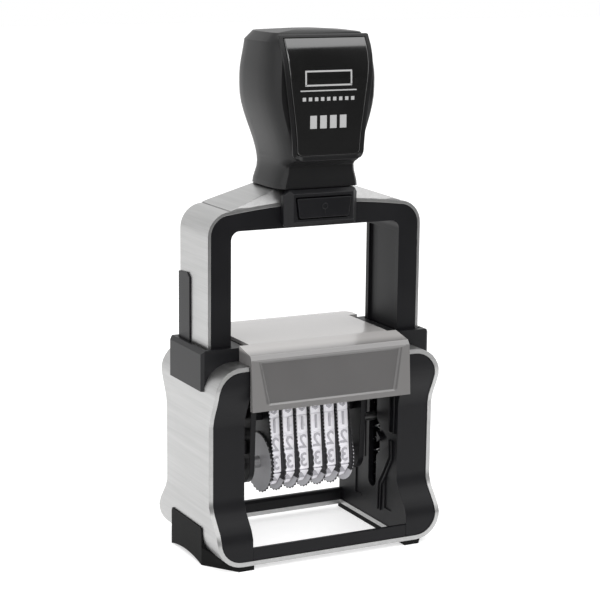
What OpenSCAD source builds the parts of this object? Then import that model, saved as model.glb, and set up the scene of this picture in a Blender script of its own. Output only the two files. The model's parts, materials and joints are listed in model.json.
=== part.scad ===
// Self-inking numberer: a heavy hand stamp with a row of turning number bands.
// Millimetres. X runs across the frame, Y from front to back, Z up.
// The origin is the middle of the base, on the surface it stands on.

/* [Base] */
// Width of the base over the aluminium strip
base_w = 84; // [76:1:110]
// Thickness of the aluminium strip around the base
strip_t = 1.5; // [1:0.1:2]
// Height of the base frame to the top of the strip
base_h = 68.5; // [66:0.5:80]
// Half depth of the base at its foot
foot_hd = 24.6; // [24:0.1:32]
// Half depth of the base at its waist
waist_hd = 17.5; // [15:0.1:20]
// Half depth of the base at its shoulder
shoulder_hd = 22.4; // [18:0.1:24]
// Thickness of the pillar's inner wall
wall_t = 2; // [1.6:0.1:3]
// Gap between the leg and the channel that it slides in
slide_gap = 0.3; // [0.2:0.05:0.5]

/* [Yoke and knob] */
// Width of a yoke leg, strip included
leg_w = 8.3; // [7.9:0.1:10]
// Half depth of the yoke
yoke_hd = 11.3; // [9.8:0.1:13.6]
// Thickness of the aluminium strip around the yoke
yoke_strip_t = 1.1; // [0.8:0.1:1.4]
// Height of the whole stamp
total_h = 175.5; // [160:0.5:220]
// Half width of the knob
knob_r = 20; // [17:0.1:24]
// Stroke of the handle
stroke = 32; // [28:0.5:32]
// Height left between the yoke and the cover at the end of the stroke
press_room = 5.3; // [3:0.1:8]

/* [Text plate and numbers] */
// Half depth of the text plate
plate_hd = 15.5; // [12:0.1:15.5]
// Distance between neighbouring number bands
band_pitch = 5.25; // [4.8:0.05:6.5]
// Width of a number band
band_w = 4; // [3.2:0.05:4.1]
// Radius of a thumbwheel over its teeth
thumb_r = 10.6; // [9.5:0.1:11]
// Radius of the pivot pins
pin_r = 2.4; // [1.8:0.1:2.6]
// Radial clearance of a pin in its bore
pin_gap = 0.05; // [0.02:0.01:0.08]
// Radius of the thumbwheels' axle
axle_r = 2; // [1.5:0.1:2.4]

/* [Hidden] */
$fn = 64;
eps = 0.01;

// ---- base, worked out from the driving sizes
hw = base_w / 2;
strip_z0 = 1.7;
corner_r = 9;
shoulder_r = 9.5;
rail_proud = 0.6;
channel_x1 = hw - strip_t;
channel_x0 = channel_x1 - rail_proud - leg_w - 2 * slide_gap;
pillar_x0 = channel_x0 - wall_t;
strip_end_x = pillar_x0 + 0.9;
leg_in = channel_x0 + slide_gap;
leg_out = leg_in + leg_w;
frame_z0 = strip_z0 + strip_t;
frame_z1 = base_h - strip_t;
die_hole_x = pillar_x0 - 0.4;
die_hole_y = foot_hd - 2.6;
bar_h = 4.2;
recess = 0.3;
clip_t = 0.8;
pad_clip_t = 0.5;
collar_hd = yoke_hd + 2.3;
collar_z0 = base_h - 9.1;
collar_top = base_h + 4.5;
collar_in = strip_end_x - 3.7;
foot_top = 12.9;

// ---- flip mechanism: the carrier turns half a turn while the yoke makes its stroke
press_gap = 1.3;
plate_gap = 1;
plate_hw = pillar_x0 - plate_gap;
die_z = base_h - 3.3;
axle_drop = 20.25;
pivot_z = (die_z + press_gap + stroke) / 2;
guide_q = 9;
guide_r = 1.5;
groove_depth = 1.3;
leg_z0 = stroke + 7.5;
channel_z0 = 5;
spring_y = 6.5;
spring_r = 2.8;
spring_wire = 0.7;
spring_turns = 12;
spring_x = leg_in + (leg_w - yoke_strip_t) / 2;
spring_top = pivot_z + 10.5;
spring_bore_r = spring_r + slide_gap + 0.05;

// ---- number bank
bank_n = 6;
bank_hw = bank_n * band_pitch / 2;
axle_z = pivot_z - axle_drop;
disc_t = 0.5;
// Part of a cell's free room that lies between its disc and its band; the rest is past the band
band_share = 0.6;
band_gap = band_share * (band_pitch - disc_t - band_w);
drum_r = 6.2;
band_t = 1;
band_in_r = drum_r + slide_gap;
nose_hd = 3;
nose_r = 0.8;
digit_h = 0.7;
band_top = die_z - digit_h;
plate_t = 1.5;
die_t = 2.2;
cheek_t = 2;
cheek_x = bank_hw + 4.3;
cheek_out = cheek_x + cheek_t;

// ---- cover and ink pad
cover_hw = pillar_x0 + 0.5;
cover_t = 1.3;
cover_top = base_h + 5.4;
cover_bottom = base_h - 14.9;
cover_front = foot_hd - 0.2;
cover_lean = 1.2;
pad_z = die_z + press_gap;
slab_z = pad_z + 1.1;
slab_t = 0.7;
slab_hw = pillar_x0 - 0.4;
tray_hw = collar_in - slide_gap - 0.1;
tray_top = cover_top - cover_t - 0.9;

// ---- yoke
crown_t = 6.6;
yoke_top = cover_top + stroke + press_room + crown_t;
yoke_crown = yoke_top + 2.2;
yoke_r = 8;
opening_top = yoke_top - crown_t;
opening_r = 3;
saddle_top = yoke_crown + 4.3;
saddle_hw = 13;
plate_front = yoke_hd + 4.7;
lock_hw = 13.6;
button_z0 = yoke_top - 3;
button_z1 = yoke_top + 3.6;
button_hw = 10;
button_gap = 0.3;
button_spring_z = button_z0 + 1.7;
screw_r = 2.5;
screw_head_r = 4.5;
rail_top = yoke_top - 21.8;

// ---- functions
function smooth(t) = let (c = min(1, max(0, t))) c * c * (3 - 2 * c);
// Half depth of the hourglass at a height
function hourglass(z) = waist_hd
    + (foot_hd - waist_hd) * (1 - smooth((z - 10) / 12))
    + (shoulder_hd - waist_hd) * smooth((z - (base_h - 21)) / 14);
// Points of an arc
function arc(cx, cy, r, a0, a1, n = 8) =
    [for (i = [0:n]) let (a = a0 + (a1 - a0) * i / n) [cx + r * cos(a), cy + r * sin(a)]];
// Knob: half width, front and back at a height share f, 0 at its skirt and 1 at its top
knob_z0 = saddle_top;
knob_h = total_h - knob_z0;
neck_f = 0.13;
knob_neck = 13.9;
chin_f = 0.14;
top_f = 0.93;
crown_f = 0.985;
function knob_hw(f) = knob_neck + (knob_r - knob_neck) * smooth((f - neck_f) / 0.5)
    + 1.5 * (1 - smooth(f / neck_f)) - 1.5 * smooth((f - 0.7) / 0.25);
function knob_front(f) = 14.8 + 4.4 * smooth((f - chin_f) / 0.06) - 5.6 * pow(max(0, f - 0.7) / 0.3, 2);
function knob_back(f) = 13 + 3.2 * smooth((f - neck_f) / 0.4) + (1 - smooth(f / neck_f))
    - 2.4 * pow(max(0, f - 0.7) / 0.3, 2);
function insert_hw(f) = 11.4 + 3.4 * smooth((f - 0.2) / 0.7);
// The top edge is chamfered all round, and the crown closes over it
function chamfer(f) = 1 - 0.13 * min(1, max(0, f - top_f) / (crown_f - top_f));
function crown(f) = 1 - 0.7 * max(0, f - crown_f) / (1 - crown_f);

// ---- shared shapes
// Shape drawn in X and Z, with its depth along Y
module along_y(half) {
    translate([0, half, 0]) rotate([90, 0, 0]) linear_extrude(2 * half) children();
}
// Shape drawn in Y and Z, with its width along X from x0 to x1
module along_x(x0, x1) {
    translate([x0, 0, 0]) rotate([90, 0, 90]) linear_extrude(x1 - x0) children();
}
module rod_x(x0, x1, r, y, z) {
    translate([x0, y, z]) rotate([0, 90, 0]) cylinder(r = r, h = x1 - x0);
}
module both_sides() {
    children();
    mirror([1, 0, 0]) children();
}
// Side outline of the base, less an inset
module hourglass_2d(inset, z0, z1) {
    n = 26;
    right = [for (i = [0:n]) let (z = z0 + (z1 - z0) * i / n) [hourglass(z) - inset, z]];
    left = [for (i = [n:-1:0]) [-right[i][0], right[i][1]]];
    polygon(concat(right, left));
}
// Front outline of the strip, less an inset
module frame_2d(inset) {
    x = hw - inset;
    z0 = strip_z0 + inset;
    z1 = base_h - inset;
    rc = corner_r - inset;
    rs = shoulder_r - inset;
    polygon(concat(
        arc(x - rc, z0 + rc, rc, -90, 0), arc(x - rs, z1 - rs, rs, 0, 90),
        arc(rs - x, z1 - rs, rs, 90, 180), arc(rc - x, z0 + rc, rc, 180, 270)));
}
// Room for a yoke leg, from z0 up
module leg_room(z0) {
    translate([leg_in - slide_gap, -yoke_hd - slide_gap, z0])
        cube([channel_x1 - leg_in + slide_gap, 2 * (yoke_hd + slide_gap), 90 - z0]);
}

// ---- base
module base_strip() color([0.80, 0.81, 0.82]) {
    difference() {
        intersection() {
            along_y(foot_hd + 1) difference() {
                frame_2d(0);
                frame_2d(strip_t);
            }
            along_x(-hw - 1, hw + 1) hourglass_2d(0, 0, base_h + 1);
        }
        translate([-strip_end_x, -foot_hd - 2, frame_z1 - 2])
            cube([2 * strip_end_x, 2 * foot_hd + 4, 2 * strip_t + 3]);
        translate([-die_hole_x, -die_hole_y, 0])
            cube([2 * die_hole_x, 2 * die_hole_y, 2 * frame_z0]);
        both_sides() leg_room(collar_z0);
    }
}

// Centre line of the guide groove, from rest to the end of the stroke. Both ends open into the slot
function guide_y(t) = -guide_q * sin(t);
function guide_z(t) = pivot_z - stroke * t / 180 - guide_q * cos(t);
// Edge of the groove at an angle, on its outer side (-1) or beside its island (1)
function guide_edge(t, side) = let (d = [-guide_q * cos(t), guide_q * sin(t) - stroke / PI], u = d / norm(d))
    [guide_y(t), guide_z(t)] + side * (guide_r + slide_gap) * [-u[1], u[0]];
module guide_groove_2d() {
    island = 42;
    difference() {
        polygon(concat([[0, guide_z(0)]], [for (t = [0:5:180]) guide_edge(t, -1)], [[0, guide_z(180)]]));
        polygon([for (t = [10:4:island]) guide_edge(t, 1), for (t = [180 - island:4:170]) guide_edge(t, 1)]);
    }
}
module pillar() {
    w = pin_r + slide_gap;
    top_room = pivot_z - stroke;
    difference() {
        intersection() {
            along_y(foot_hd) frame_2d(strip_t);
            along_x(pillar_x0, hw) hourglass_2d(recess, 0, base_h);
        }
        difference() {
            leg_room(channel_z0);
            // The channel narrows at its foot, inside the rounded corner
            translate([leg_in + leg_w - yoke_strip_t + slide_gap, -foot_hd, 0])
                cube([hw, 2 * foot_hd, leg_z0 - stroke + 4]);
        }
        // Slot for the pivot pin
        along_x(pillar_x0 - 1, channel_x0 + 1) union() {
            translate([-w, top_room]) square([2 * w, stroke]);
            for (z = [top_room, pivot_z]) translate([0, z]) circle(w);
        }
        along_x(pillar_x0 - 1, pillar_x0 + groove_depth) guide_groove_2d();
        // Shallow panels that lighten the inner wall
        for (y = [7, -14]) translate([pillar_x0 - 1, y, 9]) cube([1.5, 5, 12]);
    }
    // Stiffening ribs beside the slot
    for (y = [5, 8.5]) translate([pillar_x0 - recess, y, 24]) cube([recess, 1.2, 24]);
}
module pillar_right() color([0.15, 0.15, 0.16]) pillar();
module pillar_left() color([0.15, 0.15, 0.16]) mirror([1, 0, 0]) pillar();

module bar() {
    depth = foot_hd - recess - die_hole_y;
    translate([0, die_hole_y, frame_z0]) along_x(-pillar_x0, pillar_x0)
        polygon([[0, 0], [depth, 0], [depth, bar_h], [0.8, bar_h], [0, bar_h - 0.8]]);
}
module front_bar() color([0.15, 0.15, 0.16]) mirror([0, 1, 0]) bar();
module rear_bar() color([0.15, 0.15, 0.16]) bar();

module collar() {
    difference() {
        intersection() {
            translate([collar_in, -collar_hd, collar_z0])
                cube([hw + clip_t - collar_in, 2 * collar_hd, collar_top - collar_z0]);
            // Chamfered top edges
            along_y(collar_hd) polygon([[collar_in, 0], [hw + clip_t, 0], [hw + clip_t, collar_top - 1.2],
                [hw + clip_t - 1.2, collar_top], [collar_in + 1, collar_top], [collar_in, collar_top - 1]]);
            translate([0, 0, collar_z0]) linear_extrude(20) polygon([[collar_in + 3, -collar_hd],
                [hw + clip_t - 1, -collar_hd], [hw + clip_t, 1 - collar_hd], [hw + clip_t, collar_hd - 1],
                [hw + clip_t - 1, collar_hd], [collar_in + 3, collar_hd], [collar_in, collar_hd - 3],
                [collar_in, 3 - collar_hd]]);
        }
        along_y(foot_hd) frame_2d(0);
        leg_room(0);
    }
}
module collar_right() color([0.12, 0.12, 0.13]) collar();
module collar_left() color([0.12, 0.12, 0.13]) mirror([1, 0, 0]) collar();

module foot_pad() {
    x1 = hw + pad_clip_t;
    half = foot_hd - 12;
    toe = foot_hd - recess;
    toe_x = die_hole_x + 5.6;
    arch_r = 52;
    difference() {
        // Plan: a long rail, cut back towards its toes
        linear_extrude(foot_top) polygon([[die_hole_x, -toe], [toe_x, -toe], [x1, -half], [x1, half],
            [toe_x, toe], [die_hole_x, toe]]);
        // Side view: a plate with low toes
        along_x(die_hole_x - 1, x1 + 1) for (s = [-1, 1])
            polygon([[s * (toe + 1), strip_z0], [s * toe, strip_z0], [s * half, 6], [s * half, foot_top - 1.2],
                [s * (half - 1), foot_top + 1], [s * (toe + 1), foot_top + 1]]);
        along_y(foot_hd + 1) frame_2d(0);
        // Shallow arch in the lower edge
        along_x(toe_x + 1.4, x1 + 1) translate([0, 1.5 - arch_r]) circle(r = arch_r, $fn = 180);
    }
}
module foot_pad_right() color([0.12, 0.12, 0.13]) foot_pad();
module foot_pad_left() color([0.12, 0.12, 0.13]) mirror([1, 0, 0]) foot_pad();

// ---- cover and ink pad cartridge
// Side outline of the cover, shrunk by a wall
module cover_2d(t) {
    front = t - cover_front;
    polygon([[front, cover_bottom], [front + cover_lean, cover_top - 3.3 - t / 2],
        [front + cover_lean + 1.2, cover_top - 1.8 - t / 2], [-13, cover_top - t], [18, cover_top - t],
        [die_hole_y + 0.6, cover_top - 0.5 - t], [die_hole_y + 0.6, cover_bottom]]);
}
module pad_cover() color([0.42, 0.41, 0.41]) {
    seat = frame_z1;
    difference() {
        along_x(-cover_hw, cover_hw) cover_2d(0);
        // Hollow: open below and to the rear
        along_x(0.9 - cover_hw, cover_hw - 0.9) union() {
            cover_2d(cover_t);
            translate([0, cover_bottom - 1]) square([die_hole_y + 2, cover_top - cover_t + 0.5 - cover_bottom]);
            translate([cover_t - cover_front, cover_bottom - 2]) square([2 * foot_hd, 4]);
        }
        // The side walls stand on the pillars
        translate([-cover_hw - 1, -shoulder_hd, cover_bottom - 1])
            cube([2 * cover_hw + 2, 3 * foot_hd, seat - cover_bottom + 1]);
        // Room for the collars
        both_sides() translate([collar_in - slide_gap / 2, -collar_hd - slide_gap / 2, seat - 3])
            cube([hw, 2 * collar_hd + slide_gap, 20]);
    }
}
module pad_tray() color([0.36, 0.35, 0.35]) {
    y0 = -plate_hd - 1.5;
    y1 = die_hole_y + 0.9;
    rear_t = cover_front - y1;
    pocket_hd = plate_hd + 0.3;
    deep_hw = tray_hw - 1.3;
    difference() {
        union() {
            translate([-slab_hw, y0, pad_z + 0.4]) cube([2 * slab_hw, y1 - y0, slab_z + slab_t - pad_z - 0.4]);
            translate([-tray_hw, y0, slab_z]) cube([2 * tray_hw, y1 - y0, tray_top - slab_z]);
            // Rear skirt, which is the drawer's front
            translate([0, y1, 0]) along_x(-cover_hw, cover_hw) polygon([[0, cover_bottom], [rear_t, cover_bottom],
                [rear_t - 1.2, cover_top - 0.6], [0, cover_top - 0.6]]);
        }
        translate([-plate_hw, -pocket_hd, pad_z]) cube([2 * plate_hw, 2 * pocket_hd, slab_z - pad_z]);
        translate([-deep_hw, -pocket_hd, pad_z]) cube([2 * deep_hw, 2 * pocket_hd, tray_top - 1.3 - pad_z]);
        // Finger grip
        translate([-9, y1 + 0.7, cover_bottom + 5]) cube([18, rear_t, 5]);
    }
}
module ink_pad() color([0.35, 0.12, 0.16]) {
    hwp = plate_hw - 0.2;
    translate([-hwp, -plate_hd, pad_z]) cube([2 * hwp, 2 * plate_hd, slab_z - pad_z]);
    deep_hw = tray_hw - 1.5;
    translate([-deep_hw, -plate_hd, slab_z - eps])
        cube([2 * deep_hw, 2 * plate_hd, tray_top - 1.5 - slab_z + eps]);
}

// ---- yoke
// Front outline of the yoke, shrunk by a wall
module yoke_2d(t, z0) {
    x = leg_out - t;
    r = yoke_r - t;
    rise = yoke_crown - yoke_top;
    n = 12;
    top = [for (i = [0:n]) let (u = 1 - 2 * i / n) [u * (x - r), yoke_top - t + rise * (1 - u * u)]];
    polygon(concat([[x, z0]], arc(x - r, yoke_top - t - r, r, 0, 90), top,
        arc(r - x, yoke_top - t - r, r, 90, 180), [[-x, z0]]));
}
module yoke_strip() color([0.80, 0.81, 0.82]) {
    skirt = leg_z0 + 4.5;
    difference() {
        along_y(yoke_hd) difference() {
            yoke_2d(0, skirt);
            yoke_2d(yoke_strip_t, skirt - 1);
        }
        translate([0, 0, yoke_top - 4]) cylinder(r = screw_r + pin_gap, h = 10);
    }
}
module yoke_frame() color([0.14, 0.14, 0.15]) {
    r = opening_r;
    x = leg_in;
    difference() {
        along_y(yoke_hd) difference() {
            yoke_2d(yoke_strip_t, leg_z0);
            polygon(concat([[x, leg_z0 - 1]], arc(x - r, opening_top - r, r, 0, 90),
                arc(r - x, opening_top - r, r, 90, 180), [[-x, leg_z0 - 1]]));
        }
        // Bores for the pivot pins, and for the return springs
        both_sides() rod_x(x - 1, x + leg_w - yoke_strip_t - 1, pin_r + pin_gap, 0, pivot_z);
        both_sides() translate([spring_x, spring_y, leg_z0 - 1])
            cylinder(r = spring_bore_r, h = spring_top - leg_z0 + 1);
        // Knob screw, with its head sunk into the crown
        translate([0, 0, opening_top - 1]) cylinder(r = screw_r + pin_gap, h = 20);
        translate([0, 0, opening_top - 1]) cylinder(r = screw_head_r + 0.2, h = 4);
        // Lock button spring
        translate([0, -yoke_hd - 1, button_spring_z]) rotate([-90, 0, 0]) cylinder(r = 2, h = 6);
        // Shallow recess in the inner face of each leg, with a deeper step along its rear part
        both_sides() translate([x - 1, 2 - yoke_hd, collar_top - stroke - 2])
            cube([1.5, 2 * yoke_hd - 4, opening_top - collar_top + stroke - 2]);
        both_sides() translate([x - 1, yoke_hd - 7.5, collar_top - stroke - 2])
            cube([2, 5.5, opening_top - collar_top + stroke - 2]);
    }
}
module leg_rail() {
    y0 = 2.3;
    along_x(leg_out, leg_out + rail_proud)
        polygon([[y0, leg_z0 + 4.5], [yoke_hd, leg_z0 + 4.5], [yoke_hd, rail_top - 0.6], [y0 + 2, rail_top],
            [y0, rail_top - 1.5]]);
}
module leg_rail_right() color([0.12, 0.12, 0.13]) leg_rail();
module leg_rail_left() color([0.12, 0.12, 0.13]) mirror([1, 0, 0]) leg_rail();

module saddle() color([0.78, 0.79, 0.80]) {
    edge_x = leg_out - yoke_r;
    difference() {
        intersection() {
            along_y(yoke_hd) polygon([[-edge_x, yoke_top - 1], [edge_x, yoke_top - 1], [edge_x, yoke_top + 0.3],
                [saddle_hw, saddle_top], [-saddle_hw, saddle_top], [-edge_x, yoke_top + 0.3]]);
            along_x(-edge_x, edge_x) polygon([[-yoke_hd, 0], [yoke_hd, 0], [yoke_hd, yoke_top + 1],
                [yoke_hd - 3, saddle_top], [3 - yoke_hd, saddle_top], [-yoke_hd, yoke_top + 1]]);
        }
        along_y(yoke_hd + 1) yoke_2d(0, 0);
        translate([0, 0, yoke_top]) cylinder(r = screw_r + pin_gap, h = 10);
    }
}

// Outline of the lock button in X and Z, grown by a gap
module button_2d(g) {
    polygon([[-button_hw + 0.9 - g, button_z0 - g], [button_hw - 0.9 + g, button_z0 - g],
        [button_hw + g, button_z1 + g], [-button_hw - g, button_z1 + g]]);
}
module lock_plate() color([0.12, 0.12, 0.13]) {
    y0 = -plate_front;
    back = yoke_hd;
    difference() {
        intersection() {
            along_x(-lock_hw, lock_hw) polygon([[-back, yoke_top - 5.8], [y0 + 1.5, yoke_top - 5.8],
                [y0, yoke_top - 4.3], [y0, saddle_top - 1.5], [y0 + 1.5, saddle_top - 0.2], [-back, saddle_top - 0.2]]);
            // Seen from the front it narrows downwards, with cut corners
            along_y(plate_front + 1) polygon([[-lock_hw + 1.8, 0], [lock_hw - 1.8, 0], [lock_hw, yoke_top],
                [lock_hw, saddle_top - 2], [lock_hw - 2, saddle_top], [2 - lock_hw, saddle_top],
                [-lock_hw, saddle_top - 2], [-lock_hw, yoke_top]]);
            // Seen from above its front corners are cut
            linear_extrude(200) polygon([[-lock_hw, 0], [-lock_hw, y0 + 2.6], [2.6 - lock_hw, y0], [lock_hw - 2.6, y0],
                [lock_hw, y0 + 2.6], [lock_hw, 0]]);
        }
        translate([0, -yoke_hd, 0]) along_y(12) button_2d(button_gap);
        // Cut to the saddle's front
        saddle_block();
    }
}
module saddle_block() {
    along_x(-lock_hw - 1, lock_hw + 1) polygon([[-yoke_hd, yoke_top + 1], [3 - yoke_hd, saddle_top],
        [3 - yoke_hd, saddle_top + 9], [9, 0], [-yoke_hd, 0]]);
}
module lock_button() color([0.13, 0.13, 0.14]) {
    depth = 3.2;
    front = plate_front + 0.7;
    translate([0, depth / 2 - front, 0]) along_y(depth / 2) button_2d(0);
}
module button_spring() color([0.7, 0.7, 0.72]) {
    y0 = 3.2 - plate_front - 0.7;
    y1 = 4.9 - yoke_hd;
    translate([0, y0, button_spring_z]) rotate([-90, 0, 0]) difference() {
        cylinder(r = 1.6, h = y1 - y0);
        translate([0, 0, -1]) cylinder(r = 1.1, h = y1 - y0 + 2);
    }
}

// ---- knob
insert_t = 1.2;
insert_gap = 0.08;
screw_grip = 15;
insert_steps = 14;
function insert_f(k) = 0.22 + 0.735 * k / insert_steps;
knob_sides = 36;
// One level of the knob: a rounded square with its front cut flat
function knob_ring(f) = let (w = knob_hw(f) * chamfer(f) * crown(f), yf = (knob_front(f) - insert_t) * crown(f),
        yb = knob_back(f) * chamfer(f) * crown(f), z = knob_z0 + f * knob_h)
    [for (i = [0:knob_sides - 1]) let (a = 360 * (i + 0.5) / knob_sides, c = cos(a), s = sin(a),
        e = s > 0 ? 0.6 : 0.5, x = w * sign(c) * pow(abs(c), e), y = sign(s) * pow(abs(s), e))
        [x, y > 0 ? y * yb : max(-yf, y * (yf + 3.2)), z]];
module loft(rings) {
    n = len(rings[0]);
    m = len(rings);
    polyhedron(points = [for (r = rings) each r], faces = concat(
        [[for (i = [0:n - 1]) i]],
        [for (k = [0:m - 2], i = [0:n - 1]) let (j = (i + 1) % n)
            [k * n + i, (k + 1) * n + i, (k + 1) * n + j]],
        [for (k = [0:m - 2], i = [0:n - 1]) let (j = (i + 1) % n)
            [k * n + i, (k + 1) * n + j, k * n + j]],
        [[for (i = [n - 1:-1:0]) (m - 1) * n + i]]));
}
// Levels stand closer round the neck and the top
knob_levels = [0, 0.03, 0.06, 0.1, chin_f, 0.158, 0.17, 0.182, 0.2, 0.23, 0.28, 0.34, 0.4, 0.46, 0.52, 0.58, 0.64, 0.7,
    0.75, 0.8, 0.84, 0.88, top_f, 0.957, crown_f, 1];
module knob_body() color([0.13, 0.13, 0.14]) {
    difference() {
        loft([for (f = knob_levels) knob_ring(f)]);
        translate([0, 0, knob_z0 - 1]) cylinder(r = screw_r + pin_gap, h = screw_grip + 2);
    }
}
module knob_insert() color([0.04, 0.04, 0.045]) {
    loft([for (k = [0:insert_steps]) let (f = insert_f(k), w = insert_hw(f), y = knob_front(f),
        z = knob_z0 + f * knob_h)
        [[-w, insert_t - insert_gap - y, z], [w, insert_t - insert_gap - y, z], [w, 0.3 - y, z], [w - 0.3, -y, z],
            [0.3 - w, -y, z], [-w, 0.3 - y, z]]]);
}
module knob_screw() color([0.7, 0.7, 0.72]) {
    head_z = opening_top + 0.4;
    translate([0, 0, head_z + 2.4]) cylinder(r = screw_r, h = knob_z0 + screw_grip - head_z - 2.4);
    difference() {
        translate([0, 0, head_z]) cylinder(r = screw_head_r, h = 2.4 + eps);
        translate([-screw_head_r - 1, -0.5, head_z - 1]) cube([2 * screw_head_r + 2, 1, 2]);
    }
}

// ---- return springs
module coil(r, wire, turns, h, sides = 5, steps = 10) {
    n = turns * steps;
    function at(k) = let (a = 360 * k / steps) [r * cos(a), r * sin(a), wire / 2 + (h - wire) * k / n];
    function ring(k) = let (a = 360 * k / steps, p = at(k))
        [for (j = [0:sides - 1]) let (b = 360 * j / sides)
            p + wire / 2 * [cos(a) * cos(b), sin(a) * cos(b), sin(b)]];
    loft([for (k = [0:n]) ring(k)]);
}
module return_spring(side) {
    translate([side * spring_x, spring_y, channel_z0])
        coil(spring_r - spring_wire / 2, spring_wire, spring_turns, spring_top - channel_z0 - 0.2);
}
module return_spring_left() color([0.72, 0.72, 0.74]) return_spring(-1);
module return_spring_right() color([0.72, 0.72, 0.74]) return_spring(1);

// ---- carrier
plate_z = die_z - die_t - plate_t;
// Opening for the bands in the text plate and its rubber die
module band_window(g) {
    translate([-bank_hw - g, -nose_hd - band_t - digit_h - g, 0])
        linear_extrude(90) square([2 * (bank_hw + g), 2 * (nose_hd + band_t + digit_h + g)]);
}
module text_plate() color([0.16, 0.16, 0.17]) {
    difference() {
        translate([-plate_hw, -plate_hd, plate_z]) cube([2 * plate_hw, 2 * plate_hd, plate_t]);
        band_window(0.4);
    }
}
module text_die() color([0.45, 0.16, 0.14]) {
    difference() {
        translate([0.6 - plate_hw, 0.6 - plate_hd, plate_z + plate_t])
            cube([2 * plate_hw - 1.2, 2 * plate_hd - 1.2, die_t]);
        band_window(0.8);
        // Ground around the raised border
        difference() {
            translate([2 - plate_hw, 2 - plate_hd, die_z - 0.8]) cube([2 * plate_hw - 4, 2 * plate_hd - 4, 2]);
            translate([-bank_hw - 2, -nose_hd - 4, 0]) cube([2 * bank_hw + 4, 2 * nose_hd + 8, 90]);
        }
    }
}
module cheek() {
    r = axle_r + 4.4;
    top_hd = plate_hd - 4.5;
    along_x(cheek_x, cheek_out) difference() {
        union() {
            polygon(concat([[-top_hd, plate_z], [-top_hd, plate_z - 3], [-7.5, pivot_z + 2]],
                arc(0, axle_z, r, 190, 350, 16),
                [[7.5, pivot_z + 2], [top_hd, plate_z - 3], [top_hd, plate_z]]));
        }
        translate([0, axle_z]) circle(axle_r + pin_gap);
    }
    // Raised clip with its screw boss
    translate([cheek_out, -4, axle_z + 4.5]) cube([1, 8, 4.5]);
    rod_x(cheek_out, cheek_out + 1.6, pin_r + 2, 0, pivot_z);
}
module cheek_right() color([0.13, 0.13, 0.14]) cheek();
module cheek_left() color([0.13, 0.13, 0.14]) mirror([1, 0, 0]) cheek();

module band_anvil() color([0.2, 0.2, 0.21]) {
    x = cheek_x;
    top = band_top - band_t - 0.1;
    // Nose that the bands run over, on a beam between the cheeks
    along_x(-bank_hw, bank_hw) polygon([[-nose_hd + 0.1, top - 0.7], [0.8 - nose_hd, top], [nose_hd - 0.8, top],
        [nose_hd - 0.1, top - 0.7], [nose_hd - 0.1, top - 4], [2, top - 6], [2, axle_z + drum_r + 9],
        [-2, axle_z + drum_r + 9], [-2, top - 6], [-nose_hd + 0.1, top - 4]]);
    both_sides() translate([bank_hw, -2, axle_z + drum_r + 9]) cube([x - bank_hw, 4, 12]);
}
module wheel_axle() color([0.75, 0.75, 0.77]) {
    rod_x(-cheek_out - 0.8, cheek_out + 0.8, axle_r, 0, axle_z);
}
module pivot_pins() color([0.75, 0.75, 0.77]) {
    both_sides() {
        rod_x(cheek_out + 1.6, leg_in + leg_w - yoke_strip_t - 1.5, pin_r, 0, pivot_z);
    }
}
module guide_pins() color([0.75, 0.75, 0.77]) {
    both_sides() rod_x(cheek_out, pillar_x0 + groove_depth - 0.3, guide_r, 0, pivot_z - guide_q);
}
module cheek_screws() color([0.6, 0.6, 0.62]) {
    both_sides() for (y = [-8, 8]) difference() {
        rod_x(cheek_out, cheek_out + 1.2, 1.7, y, plate_z - 3);
        translate([cheek_out + 0.7, y - 2, plate_z - 3.3]) cube([1, 4, 0.6]);
    }
}
module guard_disc() color([0.55, 0.54, 0.56]) {
    difference() {
        rod_x(bank_hw, bank_hw + disc_t, thumb_r - 0.6, 0, axle_z);
        rod_x(bank_hw - 1, bank_hw + disc_t + 1, axle_r + pin_gap, 0, axle_z);
    }
}

// Left edge of a number cell, counted from 1
function cell_x(i) = -bank_hw + (i - 1) * band_pitch;
// Outline of a band: an arc round the drum, and two small ones over the anvil's nose
module band_2d(grow) {
    big = band_in_r + grow;
    small = nose_r + grow;
    cz = band_top - band_t - nose_r;
    cy = nose_hd - nose_r;
    tilt = asin((big - small) / norm([cy, cz - axle_z])) - atan(cy / (cz - axle_z));
    polygon(concat(
        arc(0, axle_z, big, 180 - tilt, 360 + tilt, 24),
        arc(cy, cz, small, tilt, 90, 4), arc(-cy, cz, small, 90, 180 - tilt, 4)));
}
module number_band(i) color([0.84, 0.84, 0.87]) {
    x = cell_x(i) + disc_t + band_gap;
    along_x(x, x + band_w) difference() {
        band_2d(band_t);
        band_2d(0);
    }
}
module thumbwheel(i) color([0.62, 0.61, 0.64]) {
    x = cell_x(i);
    teeth = 30;
    difference() {
        union() {
            along_x(x, x + disc_t) polygon([for (k = [0:2 * teeth - 1])
                let (a = 180 * k / teeth, r = thumb_r - (k % 2) * 0.6) [r * cos(a), axle_z + r * sin(a)]]);
            rod_x(x + disc_t - eps, x + band_pitch - 0.2, drum_r, 0, axle_z);
        }
        rod_x(x - 1, x + band_pitch, axle_r + pin_gap, 0, axle_z);
    }
}

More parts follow.
